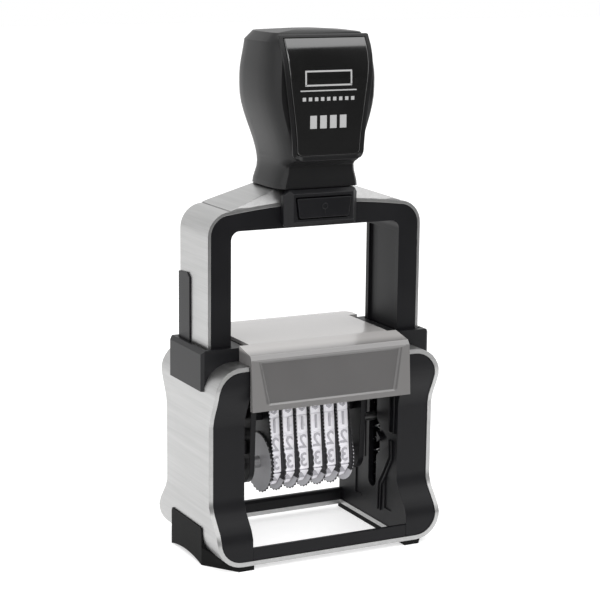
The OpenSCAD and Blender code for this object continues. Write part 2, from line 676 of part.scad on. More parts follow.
base_strip();
pillar_left();
pillar_right();
front_bar();
rear_bar();
collar_left();
collar_right();
foot_pad_left();
foot_pad_right();
pad_cover();
pad_tray();
ink_pad();
yoke_strip();
yoke_frame();
leg_rail_left();
leg_rail_right();
saddle();
lock_plate();
lock_button();
button_spring();
knob_body();
knob_insert();
knob_screw();
return_spring_left();
return_spring_right();
cheek_left();
cheek_right();
text_plate();
text_die();
band_anvil();
wheel_axle();
pivot_pins();
guide_pins();
cheek_screws();
guard_disc();
number_band(1);  // number_band_1
number_band(2);  // number_band_2
number_band(3);  // number_band_3
number_band(4);  // number_band_4
number_band(5);  // number_band_5
number_band(6);  // number_band_6
thumbwheel(1);  // thumbwheel_1
thumbwheel(2);  // thumbwheel_2
thumbwheel(3);  // thumbwheel_3
thumbwheel(4);  // thumbwheel_4
thumbwheel(5);  // thumbwheel_5
thumbwheel(6);  // thumbwheel_6
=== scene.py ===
import json
import math

import bpy
from mathutils import Matrix, Vector


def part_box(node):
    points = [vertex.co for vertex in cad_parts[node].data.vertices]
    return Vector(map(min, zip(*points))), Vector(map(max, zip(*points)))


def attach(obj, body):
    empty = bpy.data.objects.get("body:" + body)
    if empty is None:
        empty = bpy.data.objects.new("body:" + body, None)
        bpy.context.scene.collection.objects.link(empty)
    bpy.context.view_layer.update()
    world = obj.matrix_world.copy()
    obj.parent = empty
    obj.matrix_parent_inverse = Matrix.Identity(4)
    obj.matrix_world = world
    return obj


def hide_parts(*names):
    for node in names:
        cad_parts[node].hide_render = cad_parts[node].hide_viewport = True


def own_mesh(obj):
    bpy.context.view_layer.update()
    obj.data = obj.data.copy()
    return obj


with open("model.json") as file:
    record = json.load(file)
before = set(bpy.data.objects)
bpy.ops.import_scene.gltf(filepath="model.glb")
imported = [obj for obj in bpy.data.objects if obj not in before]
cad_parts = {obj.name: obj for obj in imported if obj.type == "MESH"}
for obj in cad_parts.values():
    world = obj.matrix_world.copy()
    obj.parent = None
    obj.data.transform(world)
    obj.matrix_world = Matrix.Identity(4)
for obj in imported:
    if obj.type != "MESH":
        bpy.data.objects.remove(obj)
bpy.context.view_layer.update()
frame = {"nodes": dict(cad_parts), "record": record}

# ---- Camera: a short telephoto, a little above the middle of the stamp and to its left.
# It is placed by its bearing, its height angle and its distance from a point on the stamp's axis.

MM = 0.001
bearing = math.radians(-27.085)
height_angle = math.radians(11.56)
roll = math.radians(0.597)
distance = 626.45 * MM
aim = Vector((-0.306, 0, 84.036)) * MM

backwards = Vector((math.sin(bearing) * math.cos(height_angle),
                    -math.cos(bearing) * math.cos(height_angle),
                    math.sin(height_angle)))
level = Vector((math.cos(bearing), math.sin(bearing), 0))
upwards = backwards.cross(level)
right = math.cos(roll) * level + math.sin(roll) * upwards
up = math.cos(roll) * upwards - math.sin(roll) * level
lens = bpy.data.cameras.new("camera")
lens.sensor_width = 36
lens.lens = 110.8
camera = bpy.data.objects.new("camera", lens)
camera.matrix_world = Matrix((right, up, backwards)).transposed().to_4x4()
camera.location = aim + backwards * distance
bpy.context.scene.collection.objects.link(camera)
bpy.context.scene.camera = camera

# ---- Studio: a flat sheet of white paper under a white world, lit by soft boxes from both sides and above.
# The side panels are bright metal, so the left box is long and close to fill them.


def deselect():
    """Nothing selected, in object mode"""
    if bpy.context.object and bpy.context.object.mode != "OBJECT":
        bpy.ops.object.mode_set(mode="OBJECT")
    bpy.ops.object.select_all(action="DESELECT")


deselect()
bpy.ops.mesh.primitive_plane_add(size=6, location=(0, 0, 0))
floor = bpy.context.object
floor.name = "paper_floor"


def soft_box(name, place, look, width, height, watts):
    light = bpy.data.lights.new(name, "AREA")
    light.shape = "RECTANGLE"
    light.size = width
    light.size_y = height
    light.energy = watts
    lamp = bpy.data.objects.new(name, light)
    lamp.location = place
    lamp.rotation_euler = (Vector(look) - Vector(place)).to_track_quat("-Z", "Y").to_euler()
    bpy.context.scene.collection.objects.link(lamp)


soft_box("left_box", (-0.75, -0.25, 0.35), (0, 0, 0.08), 0.7, 0.9, 2.0)
soft_box("right_box", (0.8, -0.5, 0.4), (0, 0, 0.09), 0.35, 0.9, 2.0)
soft_box("top_box", (0.0, 0.05, 0.95), (0, 0, 0.1), 0.8, 0.8, 2.5)
soft_box("front_box", (-0.35, -1.0, 0.75), (0, 0, 0.05), 0.5, 0.3, 4)
soft_box("knob_box", (0.24, -0.46, 0.80), (0, 0, 0.165), 0.6, 0.30, 1.3)
bpy.context.scene.view_settings.view_transform = "Standard"


class Wire:
    """One output socket of a material's nodes, which takes part in sums like a number"""

    def __init__(self, tree, socket=None):
        self.tree = tree
        self.socket = socket

    def node(self, kind, settings=None, sockets=None, out=0):
        """A new node: its settings are set first, then its sockets get values or links"""
        made = self.tree.nodes.new(kind)
        for name, value in (settings or {}).items():
            if name == "stops":
                ramp = made.color_ramp
                while len(ramp.elements) < len(value):
                    ramp.elements.new(0.5)
                for element, (place, colour) in zip(ramp.elements, value):
                    element.position = place
                    element.color = colour
            else:
                setattr(made, name, value)
        for name, value in (sockets or {}).items():
            if isinstance(value, Wire):
                self.tree.links.new(value.socket, made.inputs[name])
            else:
                made.inputs[name].default_value = value
        return Wire(self.tree, made.outputs[out])

    def maths(self, operation, *terms):
        return self.node("ShaderNodeMath", {"operation": operation}, dict(enumerate(terms)))

    def __add__(self, other):
        return self.maths("ADD", self, other)

    __radd__ = __add__

    def __mul__(self, other):
        return self.maths("MULTIPLY", self, other)

    __rmul__ = __mul__

    def __sub__(self, other):
        return self.maths("SUBTRACT", self, other)

    def __rsub__(self, other):
        return self.maths("SUBTRACT", other, self)

    def above(self, low, high):
        """0 below low, 1 above high, smooth between them"""
        ramp = {"interpolation_type": "SMOOTHSTEP"}
        return self.node("ShaderNodeMapRange", ramp, {"Value": self, "From Min": low, "From Max": high})

    def axis(self, letter):
        return self.node("ShaderNodeSeparateXYZ", None, {"Vector": self}, letter)

    def noise(self, scale, detail=3, roughness=0.55, stretch=(1, 1, 1), shift=(0, 0, 0)):
        """Noise on this vector, with features about 1/scale metres wide"""
        mapped = self.node("ShaderNodeMapping", None, {
            "Vector": self, "Scale": stretch, "Location": shift})
        return self.node("ShaderNodeTexNoise", None, {
            "Vector": mapped, "Scale": scale, "Detail": detail, "Roughness": roughness})

    def mix(self, first, second):
        """Colour that goes from first to second as this goes from 0 to 1"""
        return self.node("ShaderNodeMix", {"data_type": "RGBA"}, {0: self, 6: first, 7: second}, 2)

    def bump(self, depth, strength=1.0):
        """Normal of a surface that this raises by up to depth metres"""
        return self.node("ShaderNodeBump", None, {
            "Height": self, "Distance": depth, "Strength": strength})


def grey(value, tint=(1, 1, 1)):
    return (value * tint[0], value * tint[1], value * tint[2], 1)


def material(name, paint, **constants):
    """Material whose varying sockets come from paint(coords), and whose other sockets are constants"""
    made = bpy.data.materials.new(name)
    made.use_nodes = True
    tree = made.node_tree
    shader = tree.nodes["Principled BSDF"]
    for socket, value in constants.items():
        shader.inputs[socket.replace("_", " ")].default_value = value
    start = Wire(tree)
    coords = start.node("ShaderNodeTexCoord", out="Object")
    for socket, value in paint(coords).items():
        tree.links.new(value.socket, shader.inputs[socket])
    return made


def paint_floor(at):
    fibre = at.noise(900, 4)
    return {"Base Color": fibre.mix(grey(0.60), grey(0.64)), "Normal": fibre.bump(0.00003, 0.3)}


floor.data.materials.append(material("white_paper", paint_floor, Roughness=0.75, Emission_Strength=0.50,
                                     Emission_Color=(1, 1, 1, 1)))

world = bpy.data.worlds.new("studio")
world.use_nodes = True
world.node_tree.nodes["Background"].inputs["Color"].default_value = (1, 1, 1, 1)
world.node_tree.nodes["Background"].inputs["Strength"].default_value = 1.0
bpy.context.scene.world = world


def paint_card(at):
    return {"Base Color": at.noise(3, 1).mix(grey(0.02), grey(0.03))}


# Black cards on the floor in front and behind the camera, which only the stamp's reflections see
card_black = material("card_black", paint_card, Roughness=0.9)
cards = (("card_low", (0.5, -2.22, 0.003), 0),
         ("card_high", (0.8, -3.4, 1.9), math.pi / 2))
for name, place, turn in cards:
    deselect()
    bpy.ops.mesh.primitive_plane_add(size=4, location=place, rotation=(turn, 0, 0))
    card = bpy.context.object
    card.name = name
    card.data.materials.append(card_black)
    card.visible_camera = False
    card.visible_diffuse = False
    card.visible_shadow = False

# ---- Base strip: one length of 1.5 mm aluminium, bent into the frame's two sides and its foot.
# It is brushed along its short way, from front to back, and its edges are only just broken.


def paint_brushed(at):
    hair = at.noise(2600, 4, 0.7, stretch=(1, 0.015, 1))
    band = at.noise(420, 2, 0.5, stretch=(1, 0.04, 1), shift=(3, 1, 7))
    smudge = at.noise(35, 3, 0.5, shift=(5, 2, 1))
    tone = hair * 0.6 + band * 0.4
    return {
        "Base Color": tone.mix(grey(0.29, (1, 1, 0.995)), grey(0.57, (1, 1, 0.995))),
        "Roughness": hair * 0.16 + smudge * 0.10 + 0.24,
        "Normal": hair.bump(0.00002, 0.35)}


brushed_aluminium = material("brushed_aluminium", paint_brushed, Metallic=1.0)


def edit(piece):
    """The piece alone is selected and in edit mode, with all of it selected"""
    deselect()
    piece.select_set(True)
    bpy.context.view_layer.objects.active = piece
    bpy.ops.object.mode_set(mode="EDIT")
    bpy.ops.mesh.select_all(action="SELECT")


def apply_all(piece):
    """Applies the piece's modifiers, and its place and turn"""
    deselect()
    piece.select_set(True)
    bpy.context.view_layer.objects.active = piece
    for modifier in list(piece.modifiers):
        bpy.ops.object.modifier_apply(modifier=modifier.name)
    bpy.ops.object.transform_apply(location=True, rotation=True, scale=True)


def soften(piece, width, segments=2, sharp=32):
    """Rounds the piece's sharp edges, and shades it smooth between them"""
    bevel = piece.modifiers.new("edges", "BEVEL")
    bevel.width = width
    bevel.segments = segments
    bevel.limit_method = "ANGLE"
    bevel.angle_limit = math.radians(sharp)
    bevel.use_clamp_overlap = True
    apply_all(piece)
    bpy.ops.object.shade_smooth_by_angle(angle=math.radians(sharp))
    flat = piece.modifiers.new("flats", "WEIGHTED_NORMAL")
    flat.keep_sharp = True
    bpy.ops.object.modifier_apply(modifier=flat.name)


def copy_of(node, name):
    """A merged copy of a CAD node's mesh, as a new piece"""
    mesh = frame["nodes"][node].data.copy()
    mesh.materials.clear()
    piece = bpy.data.objects.new(name, mesh)
    bpy.context.scene.collection.objects.link(piece)
    edit(piece)
    bpy.ops.mesh.remove_doubles(threshold=0.000002)
    bpy.ops.mesh.dissolve_limited(angle_limit=math.radians(0.8))
    bpy.ops.object.mode_set(mode="OBJECT")
    return piece


def copied(piece, name, shift=(0, 0, 0)):
    """A copy of a finished piece with its own mesh, moved by shift"""
    deselect()
    twin = piece.copy()
    twin.data = piece.data.copy()
    twin.name = name
    bpy.context.scene.collection.objects.link(twin)
    twin.location = shift
    apply_all(twin)
    return twin


def join(pieces, name):
    deselect()
    for piece in pieces:
        piece.select_set(True)
    bpy.context.view_layer.objects.active = pieces[0]
    bpy.ops.object.join()
    pieces[0].name = name
    return pieces[0]


def body_with(node):
    """The body that a CAD node belongs to"""
    bodies = frame["record"]["behaviour"]["bodies"]
    return next(body for body, members in bodies.items() if node in members)


def stands_for(piece, node, look=None):
    """The piece is shown in place of a CAD node, and moves with its body"""
    if look:
        piece.data.materials.clear()
        piece.data.materials.append(look)
    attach(piece, body_with(node))
    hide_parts(node)


def finished(node, look, width, segments=2, sharp=32):
    """A CAD part with its edges rounded as the real one's are"""
    piece = copy_of(node, node + "_finished")
    soften(piece, width, segments, sharp)
    stands_for(piece, node, look)
    return piece


finished("base_strip", brushed_aluminium, 0.00018)

# ---- Pillars and bars: the black moulding inside the strip, in satin glass-filled plastic.
# Its skin has a fine spark-eroded grain, and a faint bloom where hands and the strip rub it.


def select_edges(piece, wanted):
    """In edit mode, selects the edges for which wanted(middle, direction) is true"""
    bpy.ops.mesh.select_mode(type="EDGE")
    bpy.ops.mesh.select_all(action="DESELECT")
    bpy.ops.object.mode_set(mode="OBJECT")
    points = piece.data.vertices
    for edge in piece.data.edges:
        first, last = (points[k].co for k in edge.vertices)
        edge.select = wanted((first + last) / 2, (last - first).normalized())
    bpy.ops.object.mode_set(mode="EDIT")


def paint_satin(at):
    grain = at.noise(4200, 3, 0.6)
    cloud = at.noise(60, 3, 0.5, shift=(1, 4, 2))
    return {
        "Base Color": cloud.mix(grey(0.003, (1, 1, 1.25)), grey(0.006, (1, 1, 1.2))),
        "Roughness": cloud * 0.14 + grain * 0.08 + 0.30,
        "Normal": grain.bump(0.00003, 0.30)}


satin_black = material("satin_black", paint_satin, Specular_IOR_Level=0.19)
wall_low, wall_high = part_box("pillar_right")
window_chamfer = 1.7 * MM
window_y = 15 * MM
window_foot = 9 * MM


def at_window(middle, along):
    """An upright edge of a pillar's front or rear face, on the window's side"""
    return (abs(abs(middle.x) - wall_low[0]) < 0.06 * MM and abs(middle.y) > window_y
            and middle.z > window_foot and abs(along.y) < 0.8)


for node in ("pillar_left", "pillar_right"):
    pillar = copy_of(node, f"{node}_shell")
    edit(pillar)
    select_edges(pillar, at_window)
    bpy.ops.mesh.bevel(offset=window_chamfer, segments=1, clamp_overlap=True)
    bpy.ops.object.mode_set(mode="OBJECT")
    soften(pillar, 0.0004, 3, 28)
    stands_for(pillar, node, satin_black)
for node in ("front_bar", "rear_bar"):
    finished(node, satin_black, 0.00025)

# Ridges on each inner wall, as (y, z) in mm: a crooked pair round the groove, and a squared one above
ridge_r = 0.35 * MM
ridge_paths = (
    ((-11.9, 34.5), (-12.2, 28.5), (-8.4, 22.2), (-5.2, 17.6), (-4.9, 7.6)),
    ((-13.5, 34.5), (-13.9, 27.9), (-10.1, 21.4), (-6.9, 16.9), (-6.6, 7.6)),
    ((-12.2, 51), (-12.2, 37.5), (-15.2, 37.5), (-15.2, 51)))


def rod(name, points, radius, sides=2):
    """A round rod along a path of points, as a mesh"""
    path = bpy.data.curves.new(name, "CURVE")
    path.dimensions = "3D"
    path.bevel_depth = radius
    path.bevel_resolution = sides
    path.use_fill_caps = True
    spline = path.splines.new("POLY")
    spline.points.add(len(points) - 1)
    for point, place in zip(spline.points, points):
        point.co = (*place, 1)
    piece = bpy.data.objects.new(name, path)
    bpy.context.scene.collection.objects.link(piece)
    deselect()
    piece.select_set(True)
    bpy.context.view_layer.objects.active = piece
    bpy.ops.object.convert(target="MESH")
    piece = bpy.context.object
    bpy.ops.object.shade_smooth()
    return piece


for side, hand in (("left", -1), ("right", 1)):
    rods = [rod("ridge", [(hand * wall_low[0], y * MM, z * MM) for y, z in path], ridge_r)
            for path in ridge_paths]
    ridges = join(rods, f"wall_ridges_{side}")
    ridges.data.materials.clear()
    ridges.data.materials.append(satin_black)
    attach(ridges, body_with("pillar_right"))

# ---- Collars: moulded guides that clip over the strip's shoulders and hold the yoke's legs upright.
# They are a little more matt than the pillars.


def paint_collar(at):
    grain = at.noise(3600, 3, 0.6)
    cloud = at.noise(90, 2, 0.5)
    return {
        "Base Color": cloud.mix(grey(0.003, (1, 1, 1.25)), grey(0.006, (1, 1, 1.2))),
        "Roughness": grain * 0.1 + 0.38,
        "Normal": grain.bump(0.00004, 0.35)}


collar_black = material("collar_black", paint_collar, Specular_IOR_Level=0.26)
for node in ("collar_left", "collar_right"):
    finished(node, collar_black, 0.0005, 3)

# ---- Foot pads: soft rubber shoes over the strip's lower corners, so that the stamp doesn't slip.


def paint_rubber(at):
    grain = at.noise(2600, 4, 0.65)
    dust = at.noise(160, 4, 0.6).above(0.55, 0.8)
    return {
        "Base Color": dust.mix(grey(0.005), grey(0.010)),
        "Roughness": grain * 0.15 + 0.55,
        "Normal": grain.bump(0.00006, 0.4)}


foot_rubber = material("foot_rubber", paint_rubber, Specular_IOR_Level=0.08)
for node in ("foot_pad_left", "foot_pad_right"):
    finished(node, foot_rubber, 0.0004, 2)

# ---- Pad cover: a smoke-grey moulding over the ink pad, with a framed panel sunk into its front.
# The plastic lets a little light through. That light is painted in as a paler frame round the panel, and the
# top is painted pale as a painted reflection of the white room.


# The panel in the cover's front is narrower at its foot, and the frame round it slopes back to the edges
panel_top = 26.3 * MM
panel_foot = 23.5 * MM
margin = 1.8 * MM
cover_low, cover_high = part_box("pad_cover")
front_y = cover_low[1] + 1.3 * MM
middle_z = (cover_low[2] + cover_high[2]) / 2


def paint_smoke_and_painted_light(at):
    cloud = at.noise(45, 3, 0.5)
    fine = at.noise(5200, 2, 0.5)
    height = at.axis(2)
    # Painted reflection: the top is painted pale where it mirrors the white room.
    painted_top_reflection = height.above(cover_high[2] - 2.2 * MM, cover_high[2] - 0.8 * MM)
    in_panel = (height.above(cover_low[2] + 2.0 * MM, cover_low[2] + 2.6 * MM)
                * (1 - height.above(cover_high[2] - 4.2 * MM, cover_high[2] - 3.6 * MM))
                * (1 - (at.maths("ABSOLUTE", at.axis(0)) - height * 0.165).above(14.9 * MM, 15.5 * MM)))
    body = cloud.mix(grey(0.072, (1.03, 1, 0.995)), grey(0.088, (1.03, 1, 0.995)))
    # Painted light: the frame round the sunk panel is painted paler than the panel, for light that comes
    # through the plastic.
    rim = in_panel.mix(grey(0.125, (1.03, 1, 0.99)), body)
    return {
        "Base Color": painted_top_reflection.mix(rim, grey(0.36, (1.03, 1, 0.98))),
        "Roughness": cloud * 0.10 + fine * 0.04 + 0.17,
        "Normal": fine.bump(0.00001, 0.15)}


smoke_plastic = material("smoke_plastic", paint_smoke_and_painted_light, Coat_Weight=0.5, Coat_Roughness=0.12)


def select_faces(piece, wanted):
    """In edit mode, selects the faces for which wanted(centre, normal) is true"""
    bpy.ops.mesh.select_all(action="DESELECT")
    bpy.ops.object.mode_set(mode="OBJECT")
    for face in piece.data.polygons:
        face.select = wanted(face.center, face.normal)
    bpy.ops.object.mode_set(mode="EDIT")
    bpy.ops.mesh.select_mode(type="FACE")


def select_points(piece, wanted):
    """In edit mode, selects the vertices for which wanted(place) is true"""
    bpy.ops.mesh.select_mode(type="VERT")
    bpy.ops.mesh.select_all(action="DESELECT")
    bpy.ops.object.mode_set(mode="OBJECT")
    for point in piece.data.vertices:
        point.select = wanted(point.co)
    bpy.ops.object.mode_set(mode="EDIT")


cover = copy_of("pad_cover", "pad_cover_shell")
edit(cover)
select_faces(cover, lambda centre, normal: normal.y < -0.9 and centre.y < front_y and abs(centre.x) < MM
             and centre.z > cover_low[2] + 5 * MM)
bpy.ops.mesh.inset(thickness=margin, depth=0)
panel_hw = cover_high[0] - margin
for half, upper in ((panel_foot, False), (panel_top, True)):
    select_points(cover, lambda place: abs(abs(place.x) - panel_hw) < 0.2 * MM and place.y < front_y
                  and (place.z > middle_z) == upper)
    bpy.ops.transform.resize(value=(half / panel_hw, 1, 1), center_override=(0, 0, 0))
    bpy.ops.transform.translate(value=(0, 0.3 * MM if upper else 0, 1.2 * MM if upper else 0))
select_faces(cover, lambda centre, normal: normal.y < -0.9 and centre.y < front_y and abs(centre.x) < MM
             and abs(centre.z - middle_z) < 4 * MM)
bpy.ops.mesh.inset(thickness=0.6 * MM, depth=-0.5 * MM)
bpy.ops.object.mode_set(mode="OBJECT")
soften(cover, 0.0005, 4, 20)
stands_for(cover, "pad_cover", smoke_plastic)

tray = finished("pad_tray", smoke_plastic, 0.0005, 2)

# ---- Ink pad: felt soaked in ink, in the tray.


def paint_felt(at):
    fibre = at.noise(3000, 5, 0.7)
    return {
        "Base Color": fibre.mix((0.05, 0.008, 0.02, 1), (0.13, 0.02, 0.05, 1)),
        "Roughness": fibre * 0.3 + 0.55,
        "Normal": fibre.bump(0.00015, 0.8)}


finished("ink_pad", material("inked_felt", paint_felt, Sheen_Weight=0.3), 0.0004, 2)

# ---- Yoke: an aluminium strip bent round a black moulded arch, with rails let into its legs.
# A polished aluminium saddle sits on its crown and leads up to the knob.

finished("yoke_strip", brushed_aluminium, 0.00015)
finished("yoke_frame", satin_black, 0.0007, 3)
for node in ("leg_rail_left", "leg_rail_right"):
    finished(node, collar_black, 0.00015)
finished("saddle", brushed_aluminium, 0.0004, 3)

# ---- Lock plate and button: the button goes in to hold the stamp down for carrying.

plate_low, plate_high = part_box("lock_plate")
plate_middle = (plate_low[2] + plate_high[2]) / 2
plate_corner_r = 2.2 * MM
plate = copy_of("lock_plate", "lock_plate_shell")
edit(plate)
select_edges(plate, lambda middle, along: abs(along.y) > 0.7 and middle.z < plate_middle
             and abs(abs(middle.x) - plate_high[0]) < 0.5 * MM)
bpy.ops.mesh.bevel(offset=plate_corner_r, segments=5, clamp_overlap=True)
bpy.ops.object.mode_set(mode="OBJECT")
soften(plate, 0.0009, 4, 28)
stands_for(plate, "lock_plate", collar_black)
finished("lock_button", satin_black, 0.0004, 3)
button_low, button_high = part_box("lock_button")
button_y = button_low[1]
button_z = (button_low[2] + button_high[2]) / 2
sign_line_r = 0.16 * MM
ring_r = 0.95 * MM
ring_z = button_z + 0.5 * MM
stem_foot = button_z - 1.9 * MM
deselect()
bpy.ops.mesh.primitive_torus_add(major_segments=24, minor_segments=8, major_radius=ring_r,
                                 minor_radius=sign_line_r, location=(0, button_y, ring_z),
                                 rotation=(math.pi / 2, 0, 0))
ring = bpy.context.object
apply_all(ring)
stem = rod("stem", [(0, button_y, ring_z - ring_r), (0, button_y, stem_foot)], sign_line_r)
sign = join([ring, stem], "button_sign")
sign.data.materials.clear()
sign.data.materials.append(collar_black)
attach(sign, "lock_button")

# ---- Knob: a hollow moulding that fills the palm, narrow at its neck and flat in front.


def paint_knob(at):
    grain = at.noise(5200, 3, 0.6)
    cloud = at.noise(40, 3, 0.5)
    return {
        "Base Color": cloud.mix(grey(0.004, (1, 1, 1.06)), grey(0.007, (1, 1, 1.06))),
        "Roughness": cloud * 0.10 + grain * 0.06 + 0.30,
        "Normal": grain.bump(0.00002, 0.3)}


knob_black = material("knob_black", paint_knob, Specular_IOR_Level=0.26)
knob = copy_of("knob_body", "knob_shell")
edit(knob)
bpy.ops.mesh.tris_convert_to_quads()
bpy.ops.object.mode_set(mode="OBJECT")
deselect()
knob.select_set(True)
bpy.context.view_layer.objects.active = knob
bpy.ops.object.shade_smooth_by_angle(angle=math.radians(24))
stands_for(knob, "knob_body", knob_black)


def paint_gloss(at):
    cloud = at.noise(70, 2, 0.5)
    return {
        "Base Color": cloud.mix(grey(0.004), grey(0.007)),
        "Roughness": cloud * 0.05 + 0.10}


gloss_black = material("gloss_black", paint_gloss, Coat_Weight=1.0, Coat_Roughness=0.08)
insert = copy_of("knob_insert", "knob_insert_window")
insert_low, insert_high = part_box("knob_insert")
insert_height = insert_high[2] - insert_low[2]
insert_corner_r = 1.4 * MM
edit(insert)
select_edges(insert, lambda middle, along: abs(along.y) > 0.7 and middle.z < insert_low[2] + 0.5 * MM)
bpy.ops.mesh.bevel(offset=insert_corner_r, segments=5, profile=0.5, clamp_overlap=True)
bpy.ops.object.mode_set(mode="OBJECT")

# Bezel: a rim round the insert's outline, with a thin dark line between them
bezel = copied(insert, "knob_bezel")
edit(bezel)
select_faces(bezel, lambda centre, normal: abs(normal.y) < 0.6)
bpy.ops.mesh.select_all(action="INVERT")
bpy.ops.mesh.delete(type="FACE")
bpy.ops.mesh.select_all(action="SELECT")
line_w = 0.13 * MM
bezel_w = 1.5 * MM
middle = ((insert_low[0] + insert_high[0]) / 2, 0, (insert_low[2] + insert_high[2]) / 2)
growth = (1 + line_w / insert_high[0], 1, 1 + 2 * line_w / insert_height)
bpy.ops.transform.resize(value=growth, center_override=middle)
bpy.ops.object.mode_set(mode="OBJECT")
thick = bezel.modifiers.new("rim", "SOLIDIFY")
thick.thickness = bezel_w
thick.offset = 1
thick.use_even_offset = True
apply_all(bezel)
edit(bezel)
select_points(bezel, lambda place: place.z > insert_high[2] + 0.5 * MM)
bpy.ops.transform.translate(value=(0, 0.5 * MM, -0.8 * MM))
bpy.ops.object.mode_set(mode="OBJECT")
soften(bezel, 0.35 * MM, 3, 40)
bezel.data.materials.clear()
bezel.data.materials.append(knob_black)
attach(bezel, "yoke")
soften(insert, 0.00015, 2, 40)
stands_for(insert, "knob_insert", gloss_black)

# Generic marks printed on the insert: an empty frame, a thin rule, plain squares and rectangles
marks = []
ink_t = 0.06 * MM


def mark(width, height, x, z):
    """A printed rectangle that lies on the insert's face"""
    deselect()
    bpy.ops.mesh.primitive_grid_add(x_subdivisions=8, y_subdivisions=4, size=1,
                                    location=(x, -30 * MM, z), rotation=(math.pi / 2, 0, 0))
    piece = bpy.context.object
    piece.scale = (width, height, 1)
    apply_all(piece)
    wrap = piece.modifiers.new("lie", "SHRINKWRAP")
    wrap.target = insert
    wrap.wrap_method = "PROJECT"
    wrap.use_project_y = True
    wrap.use_positive_direction = True
    wrap.use_negative_direction = False
    body = piece.modifiers.new("ink", "SOLIDIFY")
    body.thickness = ink_t
    body.offset = 1
    apply_all(piece)
    marks.append(piece)


rule_z = 156.6 * MM
mark(20.4 * MM, 0.40 * MM, -0.5 * MM, rule_z)
frame_line = 0.55 * MM
square = 1.2 * MM
square_pitch = 2.2 * MM
upright_w = 2.4 * MM
upright_pitch = 3.6 * MM
for z in (rule_z + 1.7 * MM, rule_z + 6.2 * MM):
    mark(17 * MM, frame_line, -0.5 * MM, z)
for x in (-8.75 * MM, 7.75 * MM):
    mark(frame_line, 4.6 * MM, x, rule_z + 3.95 * MM)
for k in range(9):
    mark(square, square, -9.3 * MM + k * square_pitch, rule_z - 2.7 * MM)
for k in range(4):
    mark(upright_w, 4.2 * MM, -5.9 * MM + k * upright_pitch, rule_z - 10.1 * MM)
marks = join(marks, "insert_marks")


def paint_mark(at):
    fine = at.noise(3000, 2, 0.5)
    return {"Base Color": fine.mix(grey(0.26), grey(0.34)), "Roughness": fine * 0.1 + 0.35}


marks.data.materials.clear()
marks.data.materials.append(material("printed_silver", paint_mark))
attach(marks, "yoke")

# ---- Carrier: black moulded cheeks and a steel axle that hold the bands and wheels, and the text plate.

for node in ("cheek_left", "cheek_right"):
    finished(node, satin_black, 0.00025)
finished("text_plate", satin_black, 0.0003)
finished("band_anvil", satin_black, 0.0002)


def paint_die(at):
    fine = at.noise(2500, 3)
    return {
        "Base Color": fine.mix((0.20, 0.035, 0.03, 1), (0.30, 0.06, 0.05, 1)),
        "Roughness": fine * 0.2 + 0.5,
        "Normal": fine.bump(0.00004, 0.4)}


finished("text_die", material("die_rubber", paint_die), 0.00015)


def paint_steel(at):
    line = at.noise(6000, 3, 0.6, stretch=(0.02, 1, 1))
    return {
        "Base Color": line.mix(grey(0.52), grey(0.68)),
        "Roughness": line * 0.15 + 0.22,
        "Normal": line.bump(0.00001, 0.3)}


drawn_steel = material("drawn_steel", paint_steel, Metallic=1.0)
for node in ("wheel_axle", "pivot_pins", "guide_pins", "cheek_screws", "knob_screw"):
    finished(node, drawn_steel, 0.0002)

# ---- Number bands: endless rubber bands, pale lilac, with raised digits that read backwards.
# Each digit stands on its own low block, so the band can bend round the drum and over the anvil.


def paint_band(at):
    fine = at.noise(2600, 4, 0.6)
    stain = at.noise(420, 3, 0.6).above(0.52, 0.75)
    return {
        "Base Color": stain.mix(grey(0.90, (1, 0.985, 1.03)), grey(0.72, (0.985, 0.97, 1.03))),
        "Roughness": fine * 0.2 + 0.42,
        "Normal": fine.bump(0.00003, 0.4)}


# Partly painted shade: this black on the combs stands for the shade between the bands, as well as the plates'
# own colour.
def paint_comb_black_and_shade(at):
    fine = at.noise(2400, 3, 0.6)
    return {
        "Base Color": fine.mix(grey(0.010, (1, 1, 1.1)), grey(0.022, (1, 1, 1.1))),
        "Roughness": fine * 0.2 + 0.40}


def paint_ink(at):
    return {"Base Color": at.noise(900, 3).mix(grey(0.36, (1, 0.98, 1.06)), grey(0.52, (1, 0.98, 1.06)))}


band_rubber = material("band_rubber", paint_band, Specular_IOR_Level=0.4)
band_ink = material("band_ink", paint_ink, Roughness=0.5)
comb_black_and_painted_shade = material("comb_black_and_painted_shade", paint_comb_black_and_shade, Specular_IOR_Level=0.3)

low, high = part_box("number_band_1")
band_w = high[0] - low[0]
drum_r = (high[1] - low[1]) / 2
axle_z = low[2] + drum_r
nose_r = 1.8 * MM
nose_y = 2.2 * MM
nose_z = high[2] - nose_r
cells = 16
first_digit = 7
digit_raise = 0.35 * MM
block_raise = 0.25 * MM
cell_gap = 0.35 * MM
digit_size = 6.6 * MM
digit_width = 0.9


